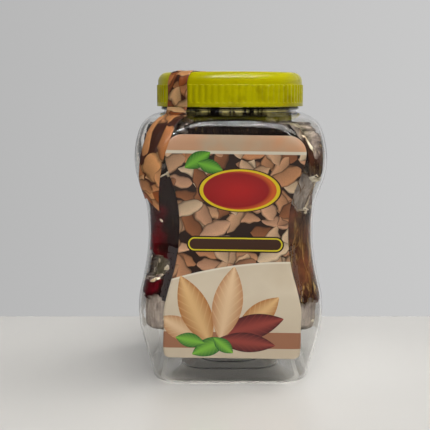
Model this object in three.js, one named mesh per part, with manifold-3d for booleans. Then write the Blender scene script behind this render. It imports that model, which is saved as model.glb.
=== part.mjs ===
// A clear plastic food jar with a waist and a ribbed screw lid, packed with a block of tamarind pulp.
// Millimetres, +Z up. The origin is the centre of the base, on the surface that the jar stands on,
// and the front label faces -Y.
import * as THREE from 'three';
import { mergeVertices } from 'three/addons/utils/BufferGeometryUtils.js';
import Module from 'manifold-3d';

const wasm = await Module();
wasm.setup();

// Driving sizes of the jar
const totalHeight = 180.2;
const bodyCorner = 15;          // radius of the body's four upright corners
const wall = 1.2;
const baseRise = 6;             // how far the middle of the base is pushed up
const neckRadius = 40;
const neckFoot = 157.2;         // where the shoulder meets the neck
const rimHeight = 176.6;
const shoulderDrop = 14;        // how much lower the shoulder lies over a corner than over a flat
const cornerReach = 0.3;        // how far a corner stands out past a flat, as a share of the half-width

// Driving sizes of the lid and its thread
const lidRadius = 44;
const lidBottom = 160.2;
const lidBore = 41.9;
const lidCeiling = 178.4;
const ribCount = 72;
const ribDepth = 0.6;
const ribBottom = 162.4;
const ribTop = 172.8;
const threadPitch = 5;
const threadStart = 163.4;      // height of the neck thread's middle at its lower end
const threadTurns = 400 / 360;
const threadSideStep = 1.75;    // how far the lid's thread runs below the neck's

// Driving sizes of the labels and the seal strip
const paperLift = 0.45;
const paper = 0.4;
const labelBottom = 17;
const labelTop = 145;
const labelShift = 1.5;         // the front label sits a little to the right of the middle
const labelTurn = -0.85;        // and is turned a little, in degrees
const stripWidth = 16;
const stripAzimuth = -44.5;     // from the front, round to the left
const stripOnTop = 15;          // how far the strip runs in over the lid's top

const gap = 0.3;

// Half-width of the jar's flat sides against height, from the foot to the neck
const sidePoints = [
  [41.5, 0], [44.2, 1.4], [45.6, 4.5], [46.6, 9.8], [48.5, 16.4], [50.0, 22.9], [51.4, 29.2], [52.6, 35.5],
  [53.2, 44.5], [52.6, 53.3], [50.9, 61], [49.1, 70.4], [47.9, 80], [47.5, 90.5], [47.9, 101], [49.2, 111.4],
  [51.2, 120], [53.5, 129.1], [54.6, 137], [54.1, 144.2], [51.0, 151.7], [46.4, 155.3], [neckRadius, neckFoot],
];
const neckPoints = [[neckRadius, 158.1], [41.5, 158.5], [41.5, 159.6], [neckRadius, 160], [neckRadius, rimHeight]];
const basePoints = [[8, baseRise], [24, baseRise - 0.8], [33, 2.6], [37, 0.5], [39, 0]];

// Polar angles round a quarter of the jar, close together over the corner
const quarterAngles = [0, 12, 23, 31, 36, 40.5, 45, 49.5, 54, 59, 67, 78];
const aroundJar = [0, 90, 180, 270].flatMap((turn) => quarterAngles.map((a) => THREE.MathUtils.degToRad(a + turn)));

const smooth = (low, high, value) => THREE.MathUtils.smoothstep(value, low, high);
const rad = THREE.MathUtils.degToRad;

// Distance from the axis to a rounded square of this half-width and corner radius, at a polar angle
function squareRadius(angle, half, corner) {
  const c = Math.abs(Math.cos(angle));
  const s = Math.abs(Math.sin(angle));
  const flat = half - corner;
  if (half * s <= flat * c) return half / c;
  if (half * c <= flat * s) return half / s;
  const along = flat * (c + s);
  return along + Math.sqrt(along * along - 2 * flat * flat + corner * corner);
}

// The corner radius grows over the shoulder until the section is the round neck
function cornerAt(half, z) {
  const share = smooth(146, neckFoot, z);
  return Math.min(half, THREE.MathUtils.lerp(bodyCorner, half, share));
}

// How far a corner of the shoulder is pulled down, which gives it its dome
function dropAt(angle, z) {
  const outer = sideWidth(z);
  const stands = (squareRadius(angle, outer, cornerAt(outer, z)) / outer - 1) / cornerReach;
  return shoulderDrop * Math.max(0, stands) ** 3 * smooth(75, 146, z) * (1 - smooth(150, neckFoot, z));
}

// A point of the jar's surface, or of one that lies inset inside it
function jarPoint(angle, half, z, inset = 0) {
  const outerHalf = half + inset;
  const corner = Math.max(cornerAt(outerHalf, z) - inset, 1);
  const r = squareRadius(angle, half, Math.min(half, corner));
  return new THREE.Vector3(r * Math.cos(angle), r * Math.sin(angle), z - dropAt(angle, z));
}

const sideCurve = new THREE.SplineCurve(sidePoints.map(([w, z]) => new THREE.Vector2(w, z)));
const sideSamples = sideCurve.getPoints(160);

// Half-width of the flat side at a height
function sideWidth(z) {
  if (z >= neckFoot) return neckRadius;
  const next = sideSamples.findIndex((p) => p.y > z);
  if (next <= 0) return sideSamples[0].x;
  const a = sideSamples[next - 1];
  const b = sideSamples[next];
  return THREE.MathUtils.lerp(a.x, b.x, (z - a.y) / (b.y - a.y));
}

// A closed body through rings of equal count; each end is closed by a ladder across the ring
function loft(rings) {
  const count = rings[0].length;
  const position = rings.flat().flatMap((p) => [p.x, p.y, p.z]);
  const index = [];
  for (let k = 0; k + 1 < rings.length; k++) {
    for (let i = 0; i < count; i++) {
      const a = k * count + i;
      const b = k * count + ((i + 1) % count);
      index.push(a, b, b + count, a, b + count, a + count);
    }
  }
  const last = (rings.length - 1) * count;
  for (let i = 0; i < count / 2 - 1; i++) {
    const j = count - 1 - i;
    index.push(i, j, i + 1, i + 1, j, j - 1);
    index.push(last + i, last + i + 1, last + j, last + i + 1, last + j - 1, last + j);
  }
  const geometry = new THREE.BufferGeometry();
  geometry.setAttribute('position', new THREE.Float32BufferAttribute(position, 3));
  geometry.setIndex(index);
  return geometry;
}

// A closed geometry as a solid with its faces outwards
function toSolid(geometry) {
  const bare = geometry.clone();
  bare.deleteAttribute('normal');
  bare.deleteAttribute('uv');
  const merged = mergeVertices(bare, 1e-4);
  const vertProperties = new Float32Array(merged.attributes.position.array);
  const triVerts = new Uint32Array(merged.index.array);
  const made = new wasm.Manifold(new wasm.Mesh({ numProp: 3, vertProperties, triVerts }));
  if (made.volume() > 0) return made;
  for (let i = 0; i < triVerts.length; i += 3) [triVerts[i + 1], triVerts[i + 2]] = [triVerts[i + 2], triVerts[i + 1]];
  return new wasm.Manifold(new wasm.Mesh({ numProp: 3, vertProperties, triVerts }));
}

function toGeometry(solid) {
  const mesh = solid.getMesh();
  const geometry = new THREE.BufferGeometry();
  geometry.setAttribute('position', new THREE.Float32BufferAttribute(mesh.vertProperties, 3));
  geometry.setIndex(Array.from(mesh.triVerts));
  return geometry;
}

// A turned body: the outline is closed, and the axis of the lathe is stood up along +Z
function turned(outline, segments) {
  const points = outline.map(([r, z]) => new THREE.Vector2(r, z));
  return new THREE.LatheGeometry(points, segments).rotateX(Math.PI / 2);
}

const even = (count) => Array.from({ length: count + 1 }, (_, i) => i / count);

// A thin sheet that lies on a surface: place(u, v) gives its points, u across at the columns and v along,
// each from 0 to 1, and liftAt(point) how far it stands off there
function sheet(place, columns, along, liftAt = () => paperLift) {
  const step = 1e-3;
  const rings = [];
  for (let k = 0; k <= along; k++) {
    const v = k / along;
    const inner = [];
    const outer = [];
    for (const u of columns) {
      const p = place(u, v);
      const acrossWay = place(u + step, v).sub(place(u - step, v));
      const alongWay = place(u, v + step).sub(place(u, v - step));
      const normal = acrossWay.cross(alongWay).normalize();
      const lift = liftAt(p);
      inner.push(p.clone().addScaledVector(normal, lift));
      outer.push(p.clone().addScaledVector(normal, lift + paper));
    }
    rings.push([...outer, ...inner.reverse()]);
  }
  return loft(rings);
}

// One ridge of screw thread: a trapezoid run up a helix, tapered away at both ends
function threadRidge(rootRadius, crestRadius, middle, startAngle, turns) {
  const steps = Math.round(turns * 40);
  const rings = [];
  for (let k = 0; k <= steps; k++) {
    const share = k / steps;
    const angle = startAngle + share * turns * 2 * Math.PI;
    const taper = Math.min(1, Math.min(share, 1 - share) * 14 + 0.25);
    const crest = THREE.MathUtils.lerp(rootRadius, crestRadius, taper);
    const z = middle + (threadPitch * angle) / (2 * Math.PI);
    const corners = [[rootRadius, -1.15], [crest, -0.5], [crest, 0.5], [rootRadius, 1.15]];
    rings.push(corners.map(([r, dz]) => new THREE.Vector3(r * Math.cos(angle), r * Math.sin(angle), z + dz)));
  }
  return loft(rings);
}

// The jar: base, hourglass sides, domed shoulder, bead and threaded neck, in one wall
function jarBody() {
  const side = sideCurve.getPoints(24).map((p) => [p.x, p.y]);
  const outer = [...basePoints, ...side, ...neckPoints];
  const innerSide = sideCurve.getPoints(12).map((p) => [p.x, p.y]).filter(([, z]) => z > 5);
  const offset = innerSide.map(([w, z], i) => {
    const a = innerSide[Math.max(i - 1, 0)];
    const b = innerSide[Math.min(i + 1, innerSide.length - 1)];
    const length = Math.hypot(b[0] - a[0], b[1] - a[1]);
    return [w - (wall * (b[1] - a[1])) / length, z + (wall * (b[0] - a[0])) / length];
  }).filter(([w]) => w > neckRadius - wall);
  const floorPoints = [[8, baseRise + wall], [24, baseRise + wall - 0.8], [34, 3.6], [39, 1.6], [43, 2.2]];
  const neckInside = neckRadius - wall;
  const inner = [...floorPoints, ...offset, [neckInside, 156], [neckInside, rimHeight]];
  const rings = [];
  for (const [half, z] of outer) rings.push(aroundJar.map((angle) => jarPoint(angle, half, z)));
  for (const [half, z] of inner.reverse()) rings.push(aroundJar.map((angle) => jarPoint(angle, half, z, wall)));
  const thread = threadRidge(neckRadius - 0.5, 41.4, threadStart, 0, threadTurns);
  return toGeometry(toSolid(loft(rings)).add(toSolid(thread)));
}

// The lid: a ribbed skirt between a plain rim and a rounded top, bored out and threaded inside
function lidShape() {
  const ribs = new THREE.Shape();
  const points = 3 * ribCount;
  for (let i = 0; i < points; i++) {
    const angle = (i / points) * 2 * Math.PI;
    const r = i % 3 === 0 ? lidRadius - ribDepth : lidRadius;
    if (i === 0) ribs.moveTo(r * Math.cos(angle), r * Math.sin(angle));
    else ribs.lineTo(r * Math.cos(angle), r * Math.sin(angle));
  }
  const skirt = new THREE.ExtrudeGeometry(ribs, { depth: ribTop - ribBottom, bevelEnabled: false });
  skirt.translate(0, 0, ribBottom);
  const shell = lidRadius - ribDepth - 0.1;
  const rounded = [];
  const edgeRadius = 5.5;
  for (let i = 0; i <= 5; i++) {
    const a = (i / 5) * (Math.PI / 2);
    rounded.push([shell - edgeRadius + edgeRadius * Math.cos(a), totalHeight - edgeRadius + edgeRadius * Math.sin(a)]);
  }
  const recess = [[27.4, totalHeight], [26.8, totalHeight - 0.6], [0, totalHeight - 0.6]];
  const rim = [[0, lidBottom], [lidRadius - 0.4, lidBottom], [lidRadius, lidBottom + 0.4],
    [lidRadius, ribBottom + 0.2], [shell, ribBottom + 0.6]];
  const core = turned([...rim, ...rounded, ...recess], 48);
  const hollow = turned([[0, lidBottom - 1], [lidBore, lidBottom - 1], [lidBore, lidCeiling - 1],
    [lidBore - 1, lidCeiling], [0, lidCeiling]], 48);
  const lead = rad(40);
  const thread = threadRidge(42.5, 40.5, threadStart - threadSideStep, lead, 1);
  return toGeometry(toSolid(core).add(toSolid(skirt)).subtract(toSolid(hollow)).add(toSolid(thread)));
}

// The foam wad under the lid's ceiling, which closes on the jar's rim
function linerShape() {
  const top = lidCeiling - gap;
  const radius = 39.6;
  return turned([[0, rimHeight + gap], [radius, rimHeight + gap], [radius, top], [0, top]], 48);
}

// Where the front panel lies for a place on it, given across and up
function frontPoint(x, z) {
  let level = z;
  let y = -sideWidth(z);
  for (let i = 0; i < 12; i++) {
    level = z + dropAt(Math.atan2(y, x), level);
    const half = sideWidth(level);
    const corner = cornerAt(half, level);
    const past = Math.max(0, Math.abs(x) - (half - corner));
    y = -(half - corner) - Math.sqrt(Math.max(corner * corner - past * past, 0.01));
  }
  return new THREE.Vector3(x, y, z);
}

// Half-width of a label at a height: it follows the jar's waist and has round top corners
const labelCurve = new THREE.SplineCurve([
  [38.6, 17], [39.3, 24], [38.9, 36], [38.9, 46], [36.4, 57.5], [33.2, 69], [31.4, 80], [30.8, 91],
  [31.3, 102], [33.4, 113], [37.2, 124.5], [39.3, 134], [39.2, 145]].map(([w, z]) => new THREE.Vector2(w, z)));
const labelSamples = labelCurve.getPoints(120);

function labelHalf(z) {
  const p = labelSamples.reduce((best, q) => (Math.abs(q.y - z) < Math.abs(best.y - z) ? q : best));
  const topCorner = 10;
  const bottomCorner = 2.5;
  const above = Math.max(0, z - (labelTop - topCorner));
  const below = Math.max(0, labelBottom + bottomCorner - z);
  const cutTop = topCorner - Math.sqrt(Math.max(topCorner ** 2 - above ** 2, 0));
  const cutBottom = bottomCorner - Math.sqrt(Math.max(bottomCorner ** 2 - below ** 2, 0));
  return p.x - cutTop - cutBottom;
}

// A label on the front panel; rows are closer together over the round corners
function labelShape(shift, turn) {
  const middle = (labelBottom + labelTop) / 2;
  const heights = (v) => {
    const z = THREE.MathUtils.lerp(labelBottom, labelTop, v);
    return v > 0.9 ? labelTop - (labelTop - z) * (labelTop - z) / (0.1 * (labelTop - labelBottom)) : z;
  };
  const place = (u, v) => {
    const z = heights(Math.min(v, 1));
    const half = labelHalf(z);
    const x = (2 * u - 1) * half;
    const c = Math.cos(rad(turn));
    const s = Math.sin(rad(turn));
    return frontPoint(shift + x * c - (z - middle) * s, middle + x * s + (z - middle) * c);
  };
  return sheet(place, [0, 0.03, 0.065, 0.11, 0.2, 0.5, 0.8, 0.89, 0.935, 0.97, 1], 22);
}

// Where the pulp stands back from the wall: degrees from the front, height, reach round and up, and depth
const hollows = [[-68, 146, 34, 22, 11], [-76, 70, 19, 7, 9], [38, 148, 26, 12, 8], [120, 142, 40, 18, 9],
  [-140, 138, 34, 20, 8], [-150, 60, 18, 10, 6]];

function pulpInset(angle, level) {
  const azimuth = THREE.MathUtils.radToDeg(angle) + 90;
  const lumps = Math.sin(3 * angle + 0.11 * level) + Math.sin(5 * angle - 0.07 * level + 2);
  const fibres = Math.sin(17 * angle + 0.09 * level + Math.sin(0.2 * level)) + Math.sin(29 * angle - 0.06 * level);
  const ragged = 51 + 3 * Math.sin(4 * angle + 1) + 2 * Math.sin(9 * angle);
  let inset = wall + gap + 0.4 * (2 + lumps) + 0.25 * (2 + fibres) + 1.5 * smooth(118, 140, level);
  inset += 5.5 * (1 - smooth(ragged - 3, ragged + 2, level)) + 9 * (1 - smooth(29, 38, level)) ** 2;
  for (const [at, height, wide, tall, depth] of hollows) {
    const off = THREE.MathUtils.euclideanModulo(azimuth - at + 180, 360) - 180;
    inset += depth * (1 - smooth(0.5, 1.15, (off / wide) ** 2 + ((level - height) / tall) ** 2));
  }
  return inset;
}

// The block of pulp: it follows the inside of the jar, with fibrous ridges, hollows and a ragged foot
function pulpShape() {
  const around = 64;
  const levels = [29, 29.6, 32, 36, 41, 45.5, 49, 52.5, 57, 62, 67, 72, 77, 84, 92, 100, 109, 117, 124, 130, 136,
    141, 145, 149, 152, 155, 160, 164, 166];
  const top = levels.at(-1);
  const neckInside = neckRadius - wall - 1.6;
  const rings = levels.map((level, k) => {
    const ring = [];
    for (let i = 0; i < around; i++) {
      const angle = (i / around) * 2 * Math.PI;
      const inset = pulpInset(angle, level);
      const half = sideWidth(level) - inset;
      const p = jarPoint(angle, level > 152 ? Math.min(half, neckInside) : half, level, inset);
      const closing = level > 163 ? Math.sqrt(Math.max(0, (top - level) / 3 + 0.35)) : 1;
      const shrink = k === 0 ? 0.55 : k === 1 ? 0.8 : Math.min(1, closing);
      p.x *= shrink;
      p.y *= shrink;
      p.z -= 0.6 + 1.3 * smooth(148, 155, level) * (1 - 0.3 * Math.sin(3 * angle));
      ring.push(p);
    }
    return ring;
  });
  return loft(rings);
}

// The strip's lower half: from the lid's edge down over the shoulder and the front left corner, to a
// swallow tail whose front point hangs lowest
function stripOnJar() {
  const start = lidBottom - 0.35;
  const bridge = 0.2;           // the share of its length that spans from the lid to the shoulder
  const notchAt = 0.6;
  const tailCut = (u) => (u < notchAt ? (0.16 * u) / notchAt : 0.16 - (0.07 * (u - notchAt)) / (1 - notchAt));
  const place = (u, share) => {
    const v = share * (1 - tailCut(u) * share);
    const azimuth = stripAzimuth + 5 * smooth(0.02, 0.35, v) - 8.5 * smooth(0.4, 1.05, v);
    const down = Math.max(0, (v - bridge) / (1 - bridge));
    const point = sideCurve.getPointAt(0.965 - 0.315 * down);
    const slant = 3 * smooth(0, 0.15, v) - 4.5 * smooth(0.3, 0.6, v);
    const lean = (0.5 - u) * (stripWidth + slant);
    const centre = rad(-90 + azimuth);
    const reach = jarPoint(centre, point.x, point.y);
    const out = Math.hypot(reach.x, reach.y);
    const onJar = jarPoint(centre + lean / out, point.x, point.y);
    if (v >= bridge) return onJar;
    const edge = centre + lean / (lidRadius + 0.1);
    const onLid = new THREE.Vector3((lidRadius + 0.1) * Math.cos(edge), (lidRadius + 0.1) * Math.sin(edge), start);
    return onLid.lerp(onJar, v / bridge);
  };
  // Where the strip crosses the front label it is lifted over the paper
  const liftAt = (p) => {
    const inside = labelHalf(p.z) - Math.abs(p.x - labelShift);
    const onLabel = p.z < labelTop && p.y < 0 ? smooth(-3, -0.8, inside) * smooth(-3, -0.8, labelTop - p.z) : 0;
    return paperLift + (paper + gap) * onLabel;
  };
  const columns = [0, 0.13, 0.27, 0.42, notchAt, 0.74, 0.88, 1];
  return sheet(place, columns, 26, liftAt);
}

// The strip's upper half: from the lid's edge up the ribs, over the rounded edge and in over the top
function stripOnLid() {
  const side = lidRadius;
  const bend = 6;               // how far the strip's bend over the edge reaches in and down
  const shoulderX = side - bend * 0.42;
  const shoulderZ = totalHeight - bend * 0.22;
  const flatX = side - bend;
  const outline = new THREE.CurvePath();
  outline.add(new THREE.LineCurve(new THREE.Vector2(side, lidBottom + 0.1), new THREE.Vector2(side, 173)));
  outline.add(new THREE.QuadraticBezierCurve(new THREE.Vector2(side, 173), new THREE.Vector2(side, 177),
    new THREE.Vector2(shoulderX, shoulderZ)));
  outline.add(new THREE.QuadraticBezierCurve(new THREE.Vector2(shoulderX, shoulderZ),
    new THREE.Vector2(side - bend * 0.72, totalHeight + 0.1), new THREE.Vector2(flatX, totalHeight + 0.1)));
  outline.add(new THREE.LineCurve(new THREE.Vector2(flatX, totalHeight + 0.1),
    new THREE.Vector2(side - stripOnTop, totalHeight)));
  const centre = rad(-90 + stripAzimuth);
  const place = (u, v) => {
    const p = outline.getPointAt(THREE.MathUtils.clamp(v, 0, 1));
    const lean = (u - 0.5) * stripWidth;
    const flatWay = new THREE.Vector3(-Math.sin(centre), Math.cos(centre), 0);
    const outWay = new THREE.Vector3(Math.cos(centre), Math.sin(centre), 0);
    const bent = lean / lidRadius;
    const wrapped = outWay.clone().multiplyScalar(p.x - lidRadius * (1 - Math.cos(bent)));
    return wrapped.addScaledVector(flatWay, lidRadius * Math.sin(bent)).setZ(p.y);
  };
  return sheet(place, even(7), 20);
}

function material(colour, roughness, extra = {}) {
  return new THREE.MeshStandardMaterial({ color: new THREE.Color(...colour), roughness, metalness: 0, ...extra });
}

const looks = {
  clearPlastic: material([0.82, 0.86, 0.84], 0.12, { transparent: true, opacity: 0.35 }),
  lidPlastic: material([0.72, 0.74, 0.02], 0.38),
  foam: material([0.9, 0.9, 0.88], 0.8),
  labelPaper: material([0.72, 0.55, 0.4], 0.45),
  stripPaper: material([0.6, 0.38, 0.22], 0.45),
  pulp: material([0.12, 0.04, 0.02], 0.5),
};

function addPiece(group, name, geometry, look) {
  const mesh = new THREE.Mesh(geometry, look);
  mesh.name = name;
  group.add(mesh);
  return mesh;
}

const jar = new THREE.Group();
addPiece(jar, 'jar_body', jarBody(), looks.clearPlastic);
addPiece(jar, 'pulp_block', toGeometry(toSolid(pulpShape())), looks.pulp);
addPiece(jar, 'front_label', toGeometry(toSolid(labelShape(labelShift, labelTurn))), looks.labelPaper);
const backLabel = addPiece(jar, 'back_label', toGeometry(toSolid(labelShape(0, 0))), looks.labelPaper);
backLabel.rotation.z = Math.PI;
addPiece(jar, 'seal_strip_jar', toGeometry(toSolid(stripOnJar())), looks.stripPaper);

const lid = new THREE.Group();
addPiece(lid, 'lid_shell', lidShape(), looks.lidPlastic);
addPiece(lid, 'seal_strip_lid', toGeometry(toSolid(stripOnLid())), looks.stripPaper);
addPiece(jar, 'lid_liner', toGeometry(toSolid(linerShape())), looks.foam);
jar.add(lid);

export default jar;
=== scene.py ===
import bpy
import math
import random
from mathutils import Matrix, Vector, noise


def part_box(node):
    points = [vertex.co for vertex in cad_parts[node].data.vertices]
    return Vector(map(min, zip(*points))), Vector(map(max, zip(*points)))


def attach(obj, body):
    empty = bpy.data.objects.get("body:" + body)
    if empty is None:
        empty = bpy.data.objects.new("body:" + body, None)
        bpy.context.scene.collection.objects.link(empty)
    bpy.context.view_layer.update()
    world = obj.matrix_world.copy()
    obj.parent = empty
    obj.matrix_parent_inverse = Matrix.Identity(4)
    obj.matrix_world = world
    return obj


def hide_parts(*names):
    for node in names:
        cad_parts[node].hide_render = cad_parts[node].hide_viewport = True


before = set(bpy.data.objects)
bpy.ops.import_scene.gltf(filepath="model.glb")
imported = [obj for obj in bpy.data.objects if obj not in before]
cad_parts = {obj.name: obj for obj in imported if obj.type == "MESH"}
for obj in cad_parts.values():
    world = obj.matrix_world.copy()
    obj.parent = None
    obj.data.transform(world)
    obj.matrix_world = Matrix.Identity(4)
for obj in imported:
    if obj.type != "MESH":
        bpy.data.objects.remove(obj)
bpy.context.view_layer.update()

# A clear jar of tamarind pulp with a ribbed screw lid. Sizes are in millimetres, front is -Y.
mm = 0.001
lidLow, lidHigh = (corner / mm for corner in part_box("lid_shell"))
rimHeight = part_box("jar_body")[1].z / mm
linerLow, linerHigh = (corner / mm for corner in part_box("lid_liner"))

jar = {
    "corner": 15,            # radius of the upright corners
    "wall": 0.9,
    "neckRadius": 40,
    "neckFoot": 157.2,
    "shoulderDrop": 14,      # how much lower the shoulder lies over a corner
    "cornerReach": 0.3,      # how far a corner stands past the flat side, as a share of the side
    "dropFrom": 75,          # the heights between which the drop grows and fades
    "dropUntil": 150,
    "roundFrom": 146,        # above this the section turns from square to round
    "around": 224,
    "threadPitch": 5,
    "threadStart": 163.4,
    "threadTurns": 400 / 360,
    "threadHeight": 1.4,
    "threadHalf": 1.15,      # half the ridge's width, and the part of it that slopes
    "threadFlank": 0.65,
    "lipChamfer": 0.25,
    "side": [(41.5, 0), (44.2, 1.4), (45.6, 4.5), (46.6, 9.8), (48.5, 16.4), (50.0, 22.9), (51.4, 29.2),
             (52.6, 35.5), (53.2, 44.5), (52.6, 53.3), (50.9, 61), (49.1, 70.4), (47.9, 80), (47.5, 90.5),
             (47.9, 101), (49.2, 111.4), (51.2, 120), (53.5, 129.1), (54.6, 137), (54.1, 144.2),
             (51.0, 151.7), (46.4, 155.3), (40, 157.2)],
    "neck": [(40, 158.1), (41.1, 158.3), (41.5, 158.6), (41.5, 159.4), (41.1, 159.8), (40, 160.1)],
    "base": [(0, 6), (8, 6), (17, 5.7), (19, 6.3), (21, 5.4), (27, 4.5), (29, 4.9), (31, 3.4), (37, 0.5),
             (39, 0), (41.5, 0)],
}


# Numbers and curves

def smooth(low, high, value):
    t = min(max((value - low) / (high - low), 0), 1)
    return t * t * (3 - 2 * t)


def mix(a, b, share):
    return a + (b - a) * share


def curveAt(points, share):      # a smooth curve through the points
    place = (len(points) - 1) * min(max(share, 0), 1)
    k = min(int(place), len(points) - 2)
    w = place - k
    p0, p1, p2, p3 = (points[min(max(k + i, 0), len(points) - 1)] for i in (-1, 0, 1, 2))
    out = []
    for a, b, c, d in zip(p0, p1, p2, p3):
        v0, v1 = (c - a) / 2, (d - b) / 2
        out.append((2 * b - 2 * c + v0 + v1) * w ** 3 + (3 * c - 3 * b - 2 * v0 - v1) * w ** 2 + v0 * w + b)
    return out


def curvePoints(points, count):
    return [tuple(curveAt(points, i / count)) for i in range(count + 1)]


sideLine = curvePoints(jar["side"], 160)


def widthAt(line, z):
    if z <= line[0][1]:
        return line[0][0]
    for (w0, z0), (w1, z1) in zip(line, line[1:]):
        if z < z1:
            return mix(w0, w1, (z - z0) / (z1 - z0))
    return line[-1][0]


sideStep = 0.25                  # the side's width is looked up at this step of height
sideTable = [widthAt(sideLine, sideStep * i) for i in range(int(jar["neckFoot"] / sideStep) + 2)]


def sideWidth(z):                # half-width of the flat side at a height
    if z >= jar["neckFoot"]:
        return jar["neckRadius"]
    place = max(z, 0) / sideStep
    k = int(place)
    return mix(sideTable[k], sideTable[k + 1], place - k)


def squareRadius(angle, half, corner):   # from the axis to a rounded square
    c, s = abs(math.cos(angle)), abs(math.sin(angle))
    flat = half - corner
    if half * s <= flat * c:
        return half / c
    if half * c <= flat * s:
        return half / s
    along = flat * (c + s)
    return along + math.sqrt(along * along - 2 * flat * flat + corner * corner)


def cornerAt(half, z):
    return min(half, mix(jar["corner"], half, smooth(jar["roundFrom"], jar["neckFoot"], z)))


def dropAt(angle, z):            # the shoulder's dome: it lies lower over the corners
    outer = sideWidth(z)
    stands = (squareRadius(angle, outer, cornerAt(outer, z)) / outer - 1) / jar["cornerReach"]
    grown = smooth(jar["dropFrom"], jar["roundFrom"], z)
    faded = smooth(jar["dropUntil"], jar["neckFoot"], z)
    return jar["shoulderDrop"] * max(0, stands) ** 3 * grown * (1 - faded)


def jarPoint(angle, half, z, inset=0):
    corner = max(cornerAt(half + inset, z) - inset, 1)
    r = squareRadius(angle, half, min(half, corner))
    return Vector((r * math.cos(angle), r * math.sin(angle), z - dropAt(angle, z)))


def frontPoint(x, z):            # the front panel's surface at a place across and up
    level, y = z, -sideWidth(z)
    for _ in range(12):
        level = z + dropAt(math.atan2(y, x), level)
        half = sideWidth(level)
        corner = cornerAt(half, level)
        past = max(0, abs(x) - (half - corner))
        y = -(half - corner) - math.sqrt(max(corner * corner - past * past, 0.01))
    return Vector((x, y, z))


# Mesh helpers: every piece starts as a primitive, and moving its vertices or a modifier shapes it

printUnit = 100                  # a print lies flat on its sheet, this many millimetres to a unit


def deselect():
    if bpy.context.object and bpy.context.object.mode != "OBJECT":
        bpy.ops.object.mode_set(mode="OBJECT")
    bpy.ops.object.select_all(action="DESELECT")


def pick(piece):
    deselect()
    bpy.context.view_layer.objects.active = piece
    piece.select_set(True)


def named(name):
    piece = bpy.context.object
    piece.name = name
    piece.data.name = name
    return piece


def tidy(piece, merge=1e-6, angle=40):
    pick(piece)
    bpy.ops.object.mode_set(mode="EDIT")
    bpy.ops.mesh.select_all(action="SELECT")
    bpy.ops.mesh.remove_doubles(threshold=merge)
    bpy.ops.mesh.normals_make_consistent(inside=False)
    bpy.ops.object.mode_set(mode="OBJECT")
    bpy.ops.object.shade_smooth_by_angle(angle=math.radians(angle))


def spinOutline(name, outline, steps):
    deselect()
    bpy.ops.mesh.primitive_plane_add(size=mm)
    piece = named(name)
    bpy.ops.object.mode_set(mode="EDIT")
    bpy.ops.mesh.merge(type="CENTER")
    bpy.ops.transform.translate(value=(outline[0][0] * mm, 0, outline[0][1] * mm))
    for (r0, z0), (r1, z1) in zip(outline, outline[1:]):
        step = ((r1 - r0) * mm, 0, (z1 - z0) * mm)
        bpy.ops.mesh.extrude_vertices_move(TRANSFORM_OT_translate={"value": step})
    bpy.ops.mesh.select_all(action="SELECT")
    bpy.ops.mesh.spin(steps=steps, angle=2 * math.pi, center=(0, 0, 0), axis=(0, 0, 1))
    bpy.ops.object.mode_set(mode="OBJECT")
    tidy(piece)
    return piece


def reshape(piece, move):        # moves each vertex: move takes and gives millimetres
    for vertex in piece.data.vertices:
        vertex.co = move(vertex.co / mm) * mm
    piece.data.update()


def gridSheet(name, across, along, place, flatAt):
    deselect()
    bpy.ops.mesh.primitive_grid_add(x_subdivisions=across, y_subdivisions=along, size=1)
    piece = named(name)
    shares = [(v.co.x + 0.5, v.co.y + 0.5) for v in piece.data.vertices]
    layer = piece.data.uv_layers.active.data
    for loop in piece.data.loops:
        x, z = flatAt(*shares[loop.vertex_index])
        layer[loop.index].uv = (x / printUnit, z / printUnit)
    for vertex, (u, v) in zip(piece.data.vertices, shares):
        vertex.co = place(u, v) * mm
    piece.data.update()
    return piece


def liftOff(sheet, liftAt):      # stands a sheet off the surface that it was laid on, outwards
    normals = [vertex.normal.copy() for vertex in sheet.data.vertices]
    middle = sum((vertex.co for vertex in sheet.data.vertices), Vector()) / len(normals)
    facing = sum((normal for normal in normals), Vector()).dot(Vector((middle.x, middle.y, 0)))
    if facing < 0:
        sheet.data.flip_normals()
    outwards = 1 if facing > 0 else -1
    for vertex, normal in zip(sheet.data.vertices, normals):
        vertex.co += normal * outwards * liftAt(vertex.co / mm) * mm


def applyModifier(piece, kind, **settings):
    pick(piece)
    modifier = piece.modifiers.new(kind.title(), kind)
    for key, value in settings.items():
        setattr(modifier, key, value)
    bpy.ops.object.modifier_apply(modifier=modifier.name)


def finishPiece(piece, body, slot, material, *nodes):
    piece.data.materials.clear()
    piece.data.materials.append(material)
    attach(piece, body)
    if nodes:
        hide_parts(*nodes)


# Material helpers

def newMaterial(name, **inputs):
    material = bpy.data.materials.new(name)
    material.use_nodes = True
    shader = material.node_tree.nodes["Principled BSDF"]
    for key, value in inputs.items():
        shader.inputs[key.replace("_", " ")].default_value = value
    return material, material.node_tree, shader


def addNode(tree, kind, *inputs, **settings):
    node = tree.nodes.new("ShaderNode" + kind)
    for key, value in settings.items():
        setattr(node, key, value)
    for socket, value in zip(node.inputs, inputs):
        if isinstance(value, bpy.types.NodeSocket):
            tree.links.new(value, socket)
        elif value is not None:
            socket.default_value = value
    return node


def calc(tree, operation, *values):
    return addNode(tree, "Math", *values, operation=operation).outputs[0]


def blend(tree, share, low, high, kind="MIX"):
    node = tree.nodes.new("ShaderNodeMix")
    node.data_type = "RGBA"
    node.blend_type = kind
    for socket, value in zip((node.inputs[0], node.inputs[6], node.inputs[7]), (share, low, high)):
        if isinstance(value, bpy.types.NodeSocket):
            tree.links.new(value, socket)
        else:
            socket.default_value = value
    return node.outputs[2]


def noiseAt(tree, place, scale, detail=3, roughness=0.5, squash=(1, 1, 1)):
    mapped = addNode(tree, "Mapping", place, None, None, squash).outputs[0]
    return addNode(tree, "TexNoise", mapped, None, scale, detail, roughness).outputs[0]


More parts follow.
